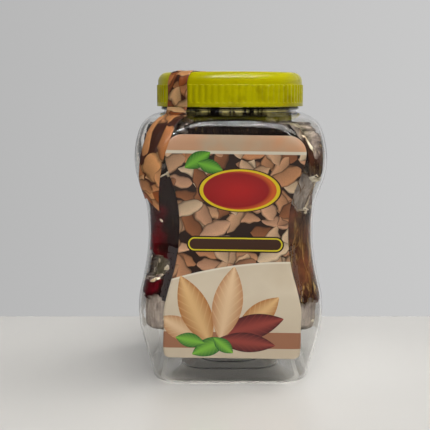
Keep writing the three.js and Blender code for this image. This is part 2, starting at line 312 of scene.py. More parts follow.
def ramp(tree, value, stops):
    node = addNode(tree, "ValToRGB", value)
    elements = node.color_ramp.elements
    while len(elements) < len(stops):
        elements.new(0.5)
    for element, (place, colour) in zip(elements, stops):
        element.position = place
        element.color = (*colour, 1)
    return node.outputs[0]


def between(tree, value, low, high, start=0.0, end=1.0):     # start up to low, end from high on
    return addNode(tree, "MapRange", value, low, high, start, end).outputs[0]


def below(tree, value, limit):
    return calc(tree, "LESS_THAN", value, limit)


def lengthOf(tree, a, b):                # the long side of a right triangle
    return calc(tree, "SQRT", calc(tree, "ADD", calc(tree, "MULTIPLY", a, a), calc(tree, "MULTIPLY", b, b)))


def bumpFrom(tree, shader, height, distance, strength=1):
    node = addNode(tree, "Bump", strength, distance)
    tree.links.new(height, node.inputs["Height"])
    tree.links.new(node.outputs[0], shader.inputs["Normal"])


def objectPlace(tree):
    return addNode(tree, "TexCoord").outputs["Object"]


def srgb(r, g, b):                       # a colour as a screen shows it, 0 to 255
    return tuple((c / 255 / 12.92 if c < 11 else ((c / 255 + 0.055) / 1.055) ** 2.4) for c in (r, g, b))


# Materials

def clearPlastic():
    material, tree, shader = newMaterial("clearPlastic", IOR=1.28, Transmission_Weight=1.0)
    place = objectPlace(tree)
    height = addNode(tree, "SeparateXYZ", place).outputs[2]
    # It's tinted darker towards the foot
    tint = ramp(tree, between(tree, height, 0, 0.05),
                [(0.02, (0.6, 0.59, 0.57)), (0.1, (0.87, 0.865, 0.85)), (0.35, (0.91, 0.905, 0.89)),
                 (1.0, (0.96, 0.955, 0.94))])
    tree.links.new(tint, shader.inputs["Base Color"])
    scuffs = noiseAt(tree, place, 60, 4, 0.6, (1, 1, 0.35))
    tree.links.new(between(tree, scuffs, 0.45, 0.8, 0.01, 0.045), shader.inputs["Roughness"])
    bumpFrom(tree, shader, noiseAt(tree, place, 22, 2, 0.4), 0.0006, 0.25)
    return material


def lidPlastic():
    material, tree, shader = newMaterial("lidPlastic", Subsurface_Weight=0.2, Subsurface_Scale=0.002,
                                         IOR=1.49, Specular_IOR_Level=0.03, Coat_Weight=0.3,
                                         Coat_Roughness=0.06)
    shader.inputs["Subsurface Radius"].default_value = (1.0, 0.9, 0.1)
    place = objectPlace(tree)
    clouds = noiseAt(tree, place, 45, 3)
    colour = ramp(tree, clouds, [(0.3, srgb(178, 170, 0)), (0.7, srgb(190, 183, 0))])
    # Darker spots on the ribbed side are painted shade for the pulp in the neck that shows faintly through it
    height = addNode(tree, "SeparateXYZ", place).outputs[2]
    spots = between(tree, noiseAt(tree, place, 75, 3), 0.52, 0.7)
    showThroughShade = calc(tree, "MULTIPLY", spots, between(tree, height, 0.174, 0.171))
    colour = blend(tree, calc(tree, "MULTIPLY", showThroughShade, 0.5), colour, (*srgb(116, 98, 0), 1))
    tree.links.new(colour, shader.inputs["Base Color"])
    tree.links.new(between(tree, clouds, 0.3, 0.7, 0.27, 0.4), shader.inputs["Roughness"])
    bumpFrom(tree, shader, noiseAt(tree, place, 900, 2), 0.00004, 0.5)
    return material


def foam():
    material, tree, shader = newMaterial("linerFoam", Roughness=0.85)
    cells = addNode(tree, "TexVoronoi", objectPlace(tree), None, 2200).outputs[0]
    tone = ramp(tree, cells, [(0, (0.5, 0.5, 0.47)), (0.5, (0.8, 0.8, 0.76))])
    tree.links.new(tone, shader.inputs["Base Color"])
    bumpFrom(tree, shader, cells, 0.0002, 0.6)
    return material


def pulpMeat():
    material, tree, shader = newMaterial("pulpMeat", Specular_IOR_Level=0.0)
    place = objectPlace(tree)
    standOff, gold, dark = (addNode(tree, "Attribute", attribute_name=name).outputs["Fac"]
                            for name in ("standOff", "gold", "dark"))
    fibres = noiseAt(tree, place, 480, 5, 0.65, (1, 1, 0.12))
    clumps = noiseAt(tree, place, 66, 5, 0.65)
    # Pressed on the wall it is wet and dark: maroon, brown with golden threads, or nearly black. The nearly
    # black band beside the front left corner is painted shade
    maroon = ramp(tree, clumps, [(0.32, srgb(18, 1, 3)), (0.5, srgb(44, 3, 7)), (0.7, srgb(68, 7, 11))])
    brown = ramp(tree, clumps, [(0.36, srgb(18, 10, 7)), (0.5, srgb(50, 27, 18)), (0.64, srgb(84, 46, 30))])
    thread = ramp(tree, fibres, [(0.44, srgb(38, 24, 14)), (0.56, srgb(98, 76, 42)),
                                 (0.68, srgb(144, 122, 74))])
    threads = calc(tree, "MULTIPLY", between(tree, fibres, 0.5, 0.62), between(tree, clumps, 0.62, 0.44))
    fibrous = blend(tree, threads, brown, thread)
    black = ramp(tree, fibres, [(0.5, srgb(11, 7, 6)), (0.62, srgb(26, 18, 13)), (0.68, srgb(70, 56, 38))])
    wetAndShaded = blend(tree, dark, blend(tree, gold, maroon, fibrous), black)
    # Where it stands off, it's painted pale and grey: painted haze and reflection for the light that the
    # clear wall lays over it there
    mottle = calc(tree, "ADD", calc(tree, "MULTIPLY", fibres, 0.5), calc(tree, "MULTIPLY", clumps, 0.5))
    paintedHaze = ramp(tree, mottle, [(0.36, srgb(84, 74, 68)), (0.5, srgb(124, 113, 104)),
                               (0.64, srgb(164, 152, 140))])
    far = ramp(tree, mottle, [(0.36, srgb(52, 46, 34)), (0.5, srgb(86, 79, 64)),
                              (0.64, srgb(124, 116, 100))])
    paintedPale = blend(tree, between(tree, standOff, 1.0, 2.0), paintedHaze, far)
    # In the neck it's painted pale yellow: painted light for the yellow glow that the lid sheds on it
    height = addNode(tree, "SeparateXYZ", place).outputs[2]
    paintedPale = blend(tree, between(tree, height, 0.1535, 0.156), paintedPale, (*srgb(232, 220, 150), 1))
    tree.links.new(blend(tree, standOff, wetAndShaded, paintedPale), shader.inputs["Base Color"])
    tree.links.new(between(tree, fibres, 0.3, 0.7, 0.4, 0.65), shader.inputs["Roughness"])
    bumpFrom(tree, shader, calc(tree, "ADD", fibres, clumps), 0.0009, 0.8)
    return material


def strandFibre():
    material, tree, shader = newMaterial("strandFibre", Roughness=0.7, Specular_IOR_Level=0.0)
    tone = noiseAt(tree, objectPlace(tree), 130, 3)
    colour = ramp(tree, tone, [(0.3, srgb(58, 32, 18)), (0.55, srgb(98, 70, 38)),
                               (0.75, srgb(150, 124, 78))])
    tree.links.new(colour, shader.inputs["Base Color"])
    return material


def pithFlake():
    material, tree, shader = newMaterial("pithFlake", Roughness=0.8, Specular_IOR_Level=0.0)
    tone = noiseAt(tree, objectPlace(tree), 190, 3)
    colour = ramp(tree, tone, [(0.35, srgb(150, 130, 96)), (0.6, srgb(206, 196, 174))])
    tree.links.new(colour, shader.inputs["Base Color"])
    return material


def almondLayer(tree, flat, turn, cell, offset, keep):
    # Scattered almond shapes in rows. It gives their mask, a soft shadow round them, a random number
    # for each, and how far out from its middle line a place is
    length, width = cell
    turned = addNode(tree, "Mapping", flat, (*offset, 0), (0, 0, math.radians(turn))).outputs[0]
    parts = addNode(tree, "SeparateXYZ", turned).outputs
    row = calc(tree, "FLOOR", calc(tree, "DIVIDE", parts[1], width))
    rowChance = addNode(tree, "TexWhiteNoise", None, row, noise_dimensions="1D").outputs[0]
    along = calc(tree, "ADD", parts[0], calc(tree, "MULTIPLY", rowChance, length))
    column = calc(tree, "FLOOR", calc(tree, "DIVIDE", along, length))
    p = calc(tree, "SUBTRACT", calc(tree, "DIVIDE", along, length), calc(tree, "ADD", column, 0.5))
    q = calc(tree, "SUBTRACT", calc(tree, "DIVIDE", parts[1], width), calc(tree, "ADD", row, 0.5))
    cellId = addNode(tree, "CombineXYZ", column, row, turn).outputs[0]
    chance = addNode(tree, "TexWhiteNoise", cellId, noise_dimensions="3D").outputs[0]
    fromMiddle = calc(tree, "ABSOLUTE", calc(tree, "MULTIPLY", p, 2.04))
    taper = calc(tree, "SUBTRACT", 1.0, calc(tree, "POWER", fromMiddle, 3.2))
    out = calc(tree, "DIVIDE", calc(tree, "MULTIPLY", q, 2.08), calc(tree, "MAXIMUM", taper, 0.02))
    inside = below(tree, calc(tree, "ABSOLUTE", out), 1.0)
    whole = calc(tree, "GREATER_THAN", taper, 0.04)
    kept = below(tree, chance, keep)
    mask = calc(tree, "MULTIPLY", calc(tree, "MULTIPLY", inside, whole), kept)
    shadow = calc(tree, "MULTIPLY", between(tree, calc(tree, "ABSOLUTE", out), 1.5, 0.95), kept)
    return mask, shadow, calc(tree, "DIVIDE", chance, keep), out


almondTones = [(0.0, srgb(208, 172, 134)), (0.2, srgb(190, 126, 80)), (0.38, srgb(216, 190, 156)),
               (0.56, srgb(168, 108, 64)), (0.74, srgb(222, 174, 138)), (0.9, srgb(142, 88, 54))]


def almondField(tree, flat, scale, ground, tones):
    # Four loose layers over a dark ground, each shape shaded from a light middle to a dark rim
    grain = noiseAt(tree, flat, 160, 3)
    wave = addNode(tree, "TexNoise", flat, None, 14, 1).outputs[1]
    shifted = addNode(tree, "VectorMath", wave, (0.5, 0.5, 0.5), operation="SUBTRACT").outputs[0]
    scaled = addNode(tree, "VectorMath", shifted, operation="SCALE")
    scaled.inputs[3].default_value = 0.05
    bent = addNode(tree, "VectorMath", flat, scaled.outputs[0], operation="ADD").outputs[0]
    colour = ground
    # Each layer: its turn in degrees, the size and the shift of its cells, and the share that it keeps
    layers = [(8, (0.19, 0.075), (0.02, 0.03), 0.9), (118, (0.2, 0.08), (0.31, 0.17), 0.62),
              (62, (0.2, 0.085), (0.13, 0.41), 0.5), (-28, (0.21, 0.09), (0.47, 0.09), 0.42)]
    for turn, cell, offset, keep in layers:
        size = (cell[0] * scale, cell[1] * scale)
        mask, shadow, tone, out = almondLayer(tree, bent, turn, size, offset, keep)
        body = ramp(tree, tone, tones)
        side = between(tree, out, -1.0, 1.0, 1.18, 0.62)
        rim = between(tree, calc(tree, "ABSOLUTE", out), 0.72, 1.0, 1.0, 0.35)
        speck = between(tree, grain, 0.3, 0.7, 0.88, 1.1)
        shade = calc(tree, "MULTIPLY", calc(tree, "MULTIPLY", side, rim), speck)
        grey = addNode(tree, "CombineColor", shade, shade, shade).outputs[0]
        lit = blend(tree, 1.0, body, grey, "MULTIPLY")
        colour = blend(tree, calc(tree, "MULTIPLY", shadow, 0.75), colour, ground)
        colour = blend(tree, mask, colour, lit)
    return colour


def ovalOut(tree, x, z, middle, size):   # 1 on the edge of an oval
    a = calc(tree, "DIVIDE", calc(tree, "SUBTRACT", x, middle[0] / printUnit), size[0] / printUnit)
    b = calc(tree, "DIVIDE", calc(tree, "SUBTRACT", z, middle[1] / printUnit), size[1] / printUnit)
    return lengthOf(tree, a, b)


def leafInk(tree, colour, x, z, middle, length, width, turn, dark, light):
    # One plain leaf with a light middle vein and fainter ones that branch off it
    c, s = math.cos(math.radians(turn)), math.sin(math.radians(turn))
    dx = calc(tree, "SUBTRACT", x, middle[0] / printUnit)
    dz = calc(tree, "SUBTRACT", z, middle[1] / printUnit)
    along = calc(tree, "ADD", calc(tree, "MULTIPLY", dx, c), calc(tree, "MULTIPLY", dz, s))
    across = calc(tree, "SUBTRACT", calc(tree, "MULTIPLY", dz, c), calc(tree, "MULTIPLY", dx, s))
    p = calc(tree, "DIVIDE", along, length / 2 / printUnit)
    q = calc(tree, "ABSOLUTE", calc(tree, "DIVIDE", across, width / 2 / printUnit))
    fromMiddle = calc(tree, "ABSOLUTE", p)
    taper = calc(tree, "SUBTRACT", 1.0, calc(tree, "POWER", fromMiddle, 2.0))
    out = calc(tree, "DIVIDE", q, calc(tree, "MAXIMUM", taper, 0.02))
    inside = calc(tree, "MULTIPLY", below(tree, out, 1.0), below(tree, fromMiddle, 0.98))
    slant = calc(tree, "SUBTRACT", p, calc(tree, "MULTIPLY", q, 0.5))
    veins = calc(tree, "SINE", calc(tree, "MULTIPLY", slant, 26.0))
    body = blend(tree, between(tree, out, 0.1, 1.0), (*light, 1), (*dark, 1))
    body = blend(tree, calc(tree, "MULTIPLY", between(tree, veins, 0.6, 1.0), 0.35), body, (*light, 1))
    body = blend(tree, below(tree, q, 0.07), body, (*light, 1))
    return blend(tree, inside, colour, body)


def labelPrint(name):
    # From the top: a tan band, a field of almonds with a plain oval and a ribbon, a cream part, a brown
    # band and a cream foot, with a spray of leaves over the last three
    material, tree, shader = newMaterial(name, Roughness=0.4, Specular_IOR_Level=0.25, Coat_Weight=0.2,
                                         Coat_Roughness=0.15)
    flat = addNode(tree, "UVMap").outputs[0]
    x, z, _ = addNode(tree, "SeparateXYZ", flat).outputs
    soft = noiseAt(tree, flat, 5, 2)
    colour = almondField(tree, flat, 1.0, (*srgb(42, 24, 16), 1), almondTones)
    tan = ramp(tree, calc(tree, "ADD", calc(tree, "MULTIPLY", x, 0.8), soft),
               [(0.25, srgb(196, 150, 116)), (0.5, srgb(184, 160, 132)), (0.75, srgb(200, 150, 112))])
    colour = blend(tree, between(tree, z, 1.345, 1.347), colour, (*srgb(214, 204, 184), 1))
    colour = blend(tree, between(tree, z, 1.362, 1.364), colour, tan)
    # The cream part's upper edge is an arc that rises to the right
    fromPeak = calc(tree, "POWER", calc(tree, "SUBTRACT", 0.34, x), 2.0)
    edge = calc(tree, "SUBTRACT", 0.735, calc(tree, "MULTIPLY", fromPeak, 0.22))
    gap = calc(tree, "SUBTRACT", edge, z)
    cream = ramp(tree, calc(tree, "ADD", calc(tree, "MULTIPLY", z, 0.5), calc(tree, "MULTIPLY", soft, 0.4)),
                 [(0.25, srgb(204, 187, 162)), (0.5, srgb(214, 199, 174)), (0.8, srgb(196, 176, 146))])
    colour = blend(tree, below(tree, z, edge), colour, (*srgb(226, 216, 196), 1))
    colour = blend(tree, between(tree, gap, 0.008, 0.012), colour, cream)
    # Brown band and cream foot, and the spray of broad leaves
    colour = blend(tree, below(tree, z, 0.332), colour, (*srgb(160, 108, 78), 1))
    colour = blend(tree, below(tree, z, 0.232), colour, cream)
    ochre = (srgb(176, 116, 62), srgb(222, 180, 124))
    peach = (srgb(190, 136, 92), srgb(228, 194, 152))
    wine = (srgb(66, 16, 20), srgb(150, 62, 52))
    green = (srgb(28, 92, 40), srgb(126, 188, 62))
    for spot, length, width, turn, (dark, light) in (
            ((14, 42), 34, 14, 44, ochre), ((-30, 35), 26, 13, 148, peach), ((10, 36), 40, 15, 16, wine),
            ((-21, 45), 44, 17, 114, ochre), ((-3, 49), 44, 17, 80, peach), ((-13, 24), 22, 11, 206, green),
            ((8, 27), 34, 12, -6, wine), ((-24, 28), 17, 9, 168, green), ((-5, 25), 15, 8, -40, green)):
        colour = leafInk(tree, colour, x, z, spot, length, width, turn, dark, light)
    # The oval: red with a yellow edge, and a dark line round it
    oval = ovalOut(tree, x, z, (3, 114), (21.5, 11.5))
    red = ramp(tree, calc(tree, "ADD", oval, calc(tree, "MULTIPLY", x, 0.6)),
               [(0.2, srgb(178, 22, 20)), (0.85, srgb(150, 14, 16)), (1.0, srgb(206, 92, 30))])
    colour = blend(tree, below(tree, oval, 1.1), colour, (*srgb(60, 22, 16), 1))
    colour = blend(tree, below(tree, oval, 1.055), colour, (*srgb(226, 196, 24), 1))
    colour = blend(tree, below(tree, oval, 0.96), colour, red)
    for spot, length, width, turn in (((-21, 131), 17, 9, 32), ((-14, 127.5), 15, 8, -16)):
        colour = leafInk(tree, colour, x, z, spot, length, width, turn, srgb(24, 84, 30), srgb(112, 180, 52))
    # The ribbon under it, with round ends
    fromMiddle = calc(tree, "ABSOLUTE", calc(tree, "SUBTRACT", x, 0.01))
    past = calc(tree, "MAXIMUM", calc(tree, "SUBTRACT", fromMiddle, 0.23), 0.0)
    ribbon = lengthOf(tree, past, calc(tree, "SUBTRACT", z, 0.83))
    for reach, ink in ((0.046, srgb(40, 24, 16)), (0.038, srgb(214, 198, 40)), (0.03, srgb(66, 40, 26))):
        colour = blend(tree, below(tree, ribbon, reach), colour, (*ink, 1))
    tree.links.new(colour, shader.inputs["Base Color"])
    bumpFrom(tree, shader, noiseAt(tree, flat, 500, 2), 0.00002, 0.4)
    return material


def stripPrint():
    material, tree, shader = newMaterial("stripPrint", Roughness=0.45, Specular_IOR_Level=0.15,
                                         Coat_Weight=0.12, Coat_Roughness=0.2)
    flat = addNode(tree, "UVMap").outputs[0]
    tones = [(0.0, srgb(212, 156, 102)), (0.25, srgb(190, 108, 52)), (0.5, srgb(222, 176, 124)),
             (0.75, srgb(156, 82, 36))]
    field = almondField(tree, flat, 1.2, (*srgb(66, 32, 18), 1), tones)
    tree.links.new(field, shader.inputs["Base Color"])
    bumpFrom(tree, shader, noiseAt(tree, flat, 500, 2), 0.00002, 0.4)
    return material


def floorPaint():
    material, tree, shader = newMaterial("floorPaint", Roughness=0.24)
    tone = noiseAt(tree, objectPlace(tree), 3, 3)
    colour = ramp(tree, tone, [(0.3, srgb(222, 219, 213)), (0.7, srgb(230, 227, 221))])
    tree.links.new(colour, shader.inputs["Base Color"])
    return material


# Camera, light and floor

def makeCamera():
    data = bpy.data.cameras.new("camera")
    data.lens = 82.5
    camera = bpy.data.objects.new("camera", data)
    camera.location = (-0.009, -0.6, 0.1695)
    camera.rotation_euler = (math.radians(90 - 7.2), 0, 0)
    bpy.context.scene.collection.objects.link(camera)
    bpy.context.scene.camera = camera


def addLamp(name, place, size, power, hiddenFrom):
    deselect()
    bpy.ops.object.light_add(type="AREA", location=place)
    lamp = bpy.context.object
    lamp.name = name
    lamp.data.shape = "RECTANGLE"
    lamp.data.size, lamp.data.size_y = size
    lamp.data.energy = power
    lamp.rotation_euler = (Vector((0, 0, 0.09)) - Vector(place)).to_track_quat("-Z", "Y").to_euler()
    setattr(lamp, hiddenFrom, False)


def makeStage():
    scene = bpy.context.scene
    scene.view_settings.view_transform = "Standard"
    # The room is bright behind the jar and overhead, and darker in front of it
    world = bpy.data.worlds.new("room")
    world.use_nodes = True
    tree = world.node_tree
    x, y, z = addNode(tree, "SeparateXYZ", addNode(tree, "TexCoord").outputs["Generated"]).outputs
    wall = ramp(tree, between(tree, y, -0.9, 0.9), [(0, srgb(50, 50, 52)), (0.5, srgb(66, 66, 68)),
                                                     (0.8, srgb(190, 190, 191)), (1, srgb(192, 192, 192))])
    sky = blend(tree, between(tree, z, 0.3, 0.6), wall, (0.09, 0.09, 0.09, 1))
    tree.links.new(sky, tree.nodes["Background"].inputs[0])
    tree.links.new(calc(tree, "MULTIPLY_ADD", x, 0.45, 1.0), tree.nodes["Background"].inputs[1])
    scene.world = world
    # Two soft lamps light it, and two tubes only show as streaks in the gloss
    addLamp("ceiling", (0.25, -0.2, 1.15), (1.2, 0.6), 12.5, "visible_glossy")
    addLamp("fill", (0.1, -1.2, 0.3), (1.4, 0.5), 4.1, "visible_glossy")
    addLamp("tube", (0.0, -0.6, 1.0), (1.5, 0.04), 24, "visible_diffuse")
    addLamp("backTube", (0.1, -0.25, 1.2), (1.5, 0.03), 14, "visible_diffuse")
    deselect()
    bpy.ops.mesh.primitive_plane_add(size=1)
    floor = named("floor")
    floor.scale = (4, 2.2, 1)
    floor.location = (0, 0.13 - 1.1, 0)      # its back edge is just behind the jar
    bpy.ops.object.transform_apply(location=True, rotation=False, scale=True)
    floor.data.materials.append(floorPaint())


# Pieces

def threadBump(angle, z, start, turns):  # 1 on a ridge's crest, 0 off it
    for lap in range(3):
        along = angle + 2 * math.pi * lap
        share = along / (turns * 2 * math.pi)
        if share <= 1:
            off = abs(z - start - jar["threadPitch"] * along / (2 * math.pi))
            taper = min(1, min(share, 1 - share) * 14)
            if off < jar["threadHalf"]:
                return taper * min(1, (jar["threadHalf"] - off) / jar["threadFlank"])
    return 0


def makeJar():
    beadTop = jar["neck"][-1][1]
    lipFoot = rimHeight - jar["lipChamfer"]
    neckTop = [(jar["neckRadius"], mix(beadTop, lipFoot, i / 50)) for i in range(1, 51)]
    lip = [(jar["neckRadius"] - jar["lipChamfer"], rimHeight)]
    side = curvePoints(jar["side"], 110)[1:]
    base = [(r, max(z, 0)) for r, z in curvePoints(jar["base"], 50)]
    outline = base + side + jar["neck"] + neckTop + lip
    body = spinOutline("jarBody", outline, jar["around"])

    def square(co):
        angle = math.atan2(co.y, co.x)
        half = math.hypot(co.x, co.y)
        if co.z > beadTop + 0.1:
            bump = threadBump(angle % (2 * math.pi), co.z, jar["threadStart"], jar["threadTurns"])
            half += jar["threadHeight"] * bump
        if half < 1e-3:
            return co
        return jarPoint(angle, half, co.z)

    reshape(body, square)
    applyModifier(body, "SOLIDIFY", thickness=jar["wall"] * mm, offset=-1)
    tidy(body, 1e-7, 35)
    body.visible_shadow = False          # the lamps shine through the clear wall
    finishPiece(body, "jar", "clear_plastic", clearPlastic(), "jar_body")


lid = {
    "radius": lidHigh.x,
    "bottom": lidLow.z,
    "top": lidHigh.z,
    "bore": 41.9,
    "ceiling": 178.4,
    "threadTop": 171,
    "threadBelow": 1.75,     # how far its ridge lies below the jar's
    "threadAfter": 40,       # and how many degrees later it starts
    "ribs": 72,
    "ribDepth": 0.6,
    "ribBottom": 162.4,
    "ribTop": 172.8,
    "edgeRadius": 5.5,
    "recessRadius": 27,
    "recessDepth": 0.6,
    "stepsPerRib": 8,
    "groove": {0: 1, 1: 0.85, 7: 0.85, 2: 0.3, 6: 0.3},      # how deep each step is cut
}


def makeLid():
    radius, bore, bottom, top = lid["radius"], lid["bore"], lid["bottom"], lid["top"]
    ribBottom, ribTop, ceiling = lid["ribBottom"], lid["ribTop"], lid["ceiling"]
    shell, edge = radius - lid["ribDepth"] - 0.1, lid["edgeRadius"]
    recess, sunk = lid["recessRadius"], top - lid["recessDepth"]
    # From the top's middle out over the recess and the round edge
    outline = [(0, sunk), (recess - 0.4, sunk), (recess - 0.15, sunk + 0.08), (recess + 0.1, top - 0.1),
               (recess + 0.4, top)]
    for i in range(13):
        a = math.pi / 2 * (1 - i / 12)
        outline.append((shell - edge + edge * math.cos(a), top - edge + edge * math.sin(a)))
    # Down the ribs and the plain rim
    outline += [(shell, ribTop + 0.15), (radius - 0.15, ribTop), (radius, ribTop - 0.2)]
    outline += [(radius, mix(ribTop - 0.4, ribBottom + 0.4, i / 4)) for i in range(5)]
    outline += [(radius, ribBottom), (radius, bottom + 0.3), (radius - 0.1, bottom + 0.08),
                (radius - 0.4, bottom)]
    # Up the bore, with rows for the thread, and in under the ceiling
    outline += [(bore + 0.3, bottom), (bore, bottom + 0.3)]
    outline += [(bore, mix(bottom + 0.6, lid["threadTop"], i / 30)) for i in range(31)]
    outline += [(bore, ceiling - 1), (bore - 0.3, ceiling - 0.3), (bore - 1, ceiling), (0, ceiling)]
    shape = spinOutline("lidShell", outline, lid["ribs"] * lid["stepsPerRib"])

    def ribs(co):
        r = math.hypot(co.x, co.y)
        angle = math.atan2(co.y, co.x) % (2 * math.pi)
        out = r
        if r > radius - 0.2 and co.z > ribBottom + 0.3:
            step = round(angle / (2 * math.pi) * lid["ribs"] * lid["stepsPerRib"]) % lid["stepsPerRib"]
            out = r - lid["ribDepth"] * lid["groove"].get(step, 0)
        elif abs(r - bore) < 0.01 and co.z < lid["threadTop"] + 0.1:
            turned = (angle - math.radians(lid["threadAfter"])) % (2 * math.pi)
            start = jar["threadStart"] - lid["threadBelow"] + jar["threadPitch"] * lid["threadAfter"] / 360
            out = r - jar["threadHeight"] * threadBump(turned, co.z, start, 1)
        return co if r < 1e-3 else Vector((co.x * out / r, co.y * out / r, co.z))

    reshape(shape, ribs)
    tidy(shape, 1e-7, 32)
    finishPiece(shape, "lid", "lid_plastic", lidPlastic(), "lid_shell")


def makeLiner():
    low, high, radius = linerLow.z, linerHigh.z, linerHigh.x
    outline = [(0, low), (36.5, low), (37.2, low + 0.04), (37.6, low + 0.2), (39.0, low + 0.2),
               (39.2, low + 0.04), (radius - 0.2, low), (radius, low + 0.2), (radius, high - 0.2),
               (radius - 0.2, high), (0, high)]      # with a shallow ring pressed into its underside
    wad = spinOutline("lidLiner", outline, 144)
    finishPiece(wad, "liner", "liner_foam", foam(), "lid_liner")


label = {
    "bottom": 17,
    "top": 145,
    "shift": 1.5,            # the front label sits a little right of the middle
    "turn": -0.85,
    "topCorner": 10,
    "bottomCorner": 2.5,
    "lift": 0.12,
    "paper": 0.14,
    "outline": [(38.6, 17), (39.3, 24), (38.9, 36), (38.9, 46), (36.4, 57.5), (33.2, 69), (31.4, 80),
                (30.8, 91), (31.3, 102), (33.4, 113), (37.2, 124.5), (39.3, 134), (39.2, 145)],
}

labelLine = curvePoints(label["outline"], 120)


def labelHalf(z):
    half = widthAt(labelLine, z)
    above = max(0, z - (label["top"] - label["topCorner"]))
    under = max(0, label["bottom"] + label["bottomCorner"] - z)
    half -= label["topCorner"] - math.sqrt(max(label["topCorner"] ** 2 - above ** 2, 0))
    return half - label["bottomCorner"] + math.sqrt(max(label["bottomCorner"] ** 2 - under ** 2, 0))


def makeLabel(name, shift, turn, back, material, node):
    middle = (label["bottom"] + label["top"]) / 2
    c, s = math.cos(math.radians(turn)), math.sin(math.radians(turn))
    cornerShare = 0.1                    # the top part, whose rows lie closer together over the round corners
    band = cornerShare * (label["top"] - label["bottom"])

    def flatAt(u, v):
        z = mix(label["bottom"], label["top"], min(max(v, 0), 1))
        if v > 1 - cornerShare:
            z = label["top"] - (label["top"] - z) ** 2 / band
        spread = 2 * u - 1
        return spread * labelHalf(z), z

    def place(u, v):
        x, z = flatAt(u, v)
        z -= middle
        return frontPoint(shift + x * c - z * s, middle + x * s + z * c)

    sheet = gridSheet(name, 64, 132, place, flatAt)
    tidy(sheet, 1e-8, 60)
    liftOff(sheet, lambda p: label["lift"])
    applyModifier(sheet, "SOLIDIFY", thickness=label["paper"] * mm, offset=1)
    if back:
        sheet.data.transform(Matrix.Rotation(math.pi, 4, "Z"))
    finishPiece(sheet, "jar", "printed_label", material, node)


strip = {
    "width": 16,
    "azimuth": -44.5,        # degrees from the front
    "onTop": 15,             # how far it runs in over the lid's top
    "notchAt": 0.6,          # the swallow tail's notch, as a share of the width
    "notchCut": 0.16,        # the share of the length that is cut away there, and at the right tip
    "rightCut": 0.09,
    "bridge": 0.2,           # the share of the jar half that spans from the lid to the shoulder
    "meetsAt": 0.965,        # where on the side's line it meets the shoulder, and how far down it runs
    "runsDown": 0.315,
    "lift": 0.15,
    "crease": 0.7,           # how far a crease stands off at most
    "paper": 0.14,
}


def stripOnJar(u, share):
    notch = strip["notchAt"]
    if u < notch:
        cut = strip["notchCut"] * u / notch
    else:
        cut = mix(strip["notchCut"], strip["rightCut"], (u - notch) / (1 - notch))
    v = share * (1 - cut * share)
    azimuth = strip["azimuth"] + 5 * smooth(0.1, 0.4, v) - 8 * smooth(0.4, 1.05, v)
    down = max(0, (v - strip["bridge"]) / (1 - strip["bridge"]))
    half, level = sidePlace(strip["meetsAt"] - strip["runsDown"] * down)
    slant = 2.5 * smooth(0.1, 0.25, v) - 4.5 * smooth(0.3, 0.6, v)
    lean = (0.5 - u) * (strip["width"] + slant)
    centre = math.radians(azimuth - 90)
    reach = jarPoint(centre, half, level)
    onJar = jarPoint(centre + lean / math.hypot(reach.x, reach.y), half, level)
    if v >= strip["bridge"]:
        return onJar
    r = lid["radius"] + 0.1
    edge = centre + lean / r
    onLid = Vector((r * math.cos(edge), r * math.sin(edge), lid["bottom"] - 0.35))
    return onLid.lerp(onJar, v / strip["bridge"])


def sidePlace(share):            # a point of the side's line at a share of its length
    reach = share * sideLength[-1]
    for i in range(1, len(sideLine)):
        if sideLength[i] >= reach:
            part = (reach - sideLength[i - 1]) / (sideLength[i] - sideLength[i - 1])
            (w0, z0), (w1, z1) = sideLine[i - 1], sideLine[i]
            return mix(w0, w1, part), mix(z0, z1, part)
    return sideLine[-1]


sideLength = [0]
for here, after in zip(sideLine, sideLine[1:]):
    sideLength.append(sideLength[-1] + math.dist(here, after))


def stripOnLid(u, v):
    ribs, top, bend = lid["radius"] + 0.05, lid["top"] + 0.05, 6
    path = [(ribs, lid["bottom"] + 0.1), (ribs, 165), (ribs, 170), (ribs, 173.5), (ribs - 0.9, 177),
            (ribs - bend * 0.42, top - bend * 0.18), (ribs - bend * 0.75, top), (ribs - bend * 1.2, top),
            (ribs - strip["onTop"], top)]
    r, z = curveAt(path, v)
    centre = math.radians(strip["azimuth"] - 90)
    bent = (u - 0.5) * strip["width"] / lid["radius"]
    out = r - lid["radius"] * (1 - math.cos(bent))
    across = lid["radius"] * math.sin(bent)
    c, s = math.cos(centre), math.sin(centre)
    return Vector((out * c - across * s, out * s + across * c, z))


def makeStrip(name, place, rows, length, start, body, material, node):
    def liftAt(p):
        crease = strip["crease"] * max(0, noise.noise(Vector((p.x * 0.3, p.y * 0.3, p.z * 0.12))))
        if body == "lid":
            return strip["lift"] + crease
        inside = labelHalf(p.z) - abs(p.x - label["shift"])
        over = 0                         # 1 where it lies over the label's edge
        if p.z < label["top"] + 3:
            over = smooth(-2.5, -0.5, inside) * smooth(-2.5, -0.5, label["top"] - p.z)
        return strip["lift"] + crease + (label["lift"] + label["paper"]) * over

    def flatAt(u, v):
        return (u - 0.5) * strip["width"], start + v * length

    sheet = gridSheet(name, 28, rows, place, flatAt)
    tidy(sheet, 1e-8, 50)
    liftOff(sheet, liftAt)
    applyModifier(sheet, "SOLIDIFY", thickness=strip["paper"] * mm, offset=1)
    finishPiece(sheet, body, "printed_strip", material, node)


pulp = {
    "around": 300,
    "rows": 190,
    "bottom": 29,
    "top": 166,
    "clear": 0.25,           # air between the pulp and the wall where it's pressed flat
    "strands": 240,
    "flakes": 46,
    "tornFlakes": 34,
    "leftFlakes": 14,
    "seed": 7,
}

# Where the pulp stands off the wall: degrees from the front, height, reach round and up, depth
standOffs = [(-64, 147, 34, 20, 10), (66, 156, 31, 12, 9), (46, 119, 14, 15, 3.4), (-57, 70, 20, 9, 6),
             (-69, 60, 13, 10, 4), (122, 142, 40, 18, 9), (-140, 138, 34, 20, 8), (150, 96, 16, 8, 5),
             (84, 64, 12, 7, 4), (-150, 60, 18, 10, 6)]


def shoulderGap(level):          # it draws back a little below the shoulder
    return 1.2 * smooth(122, 140, level)


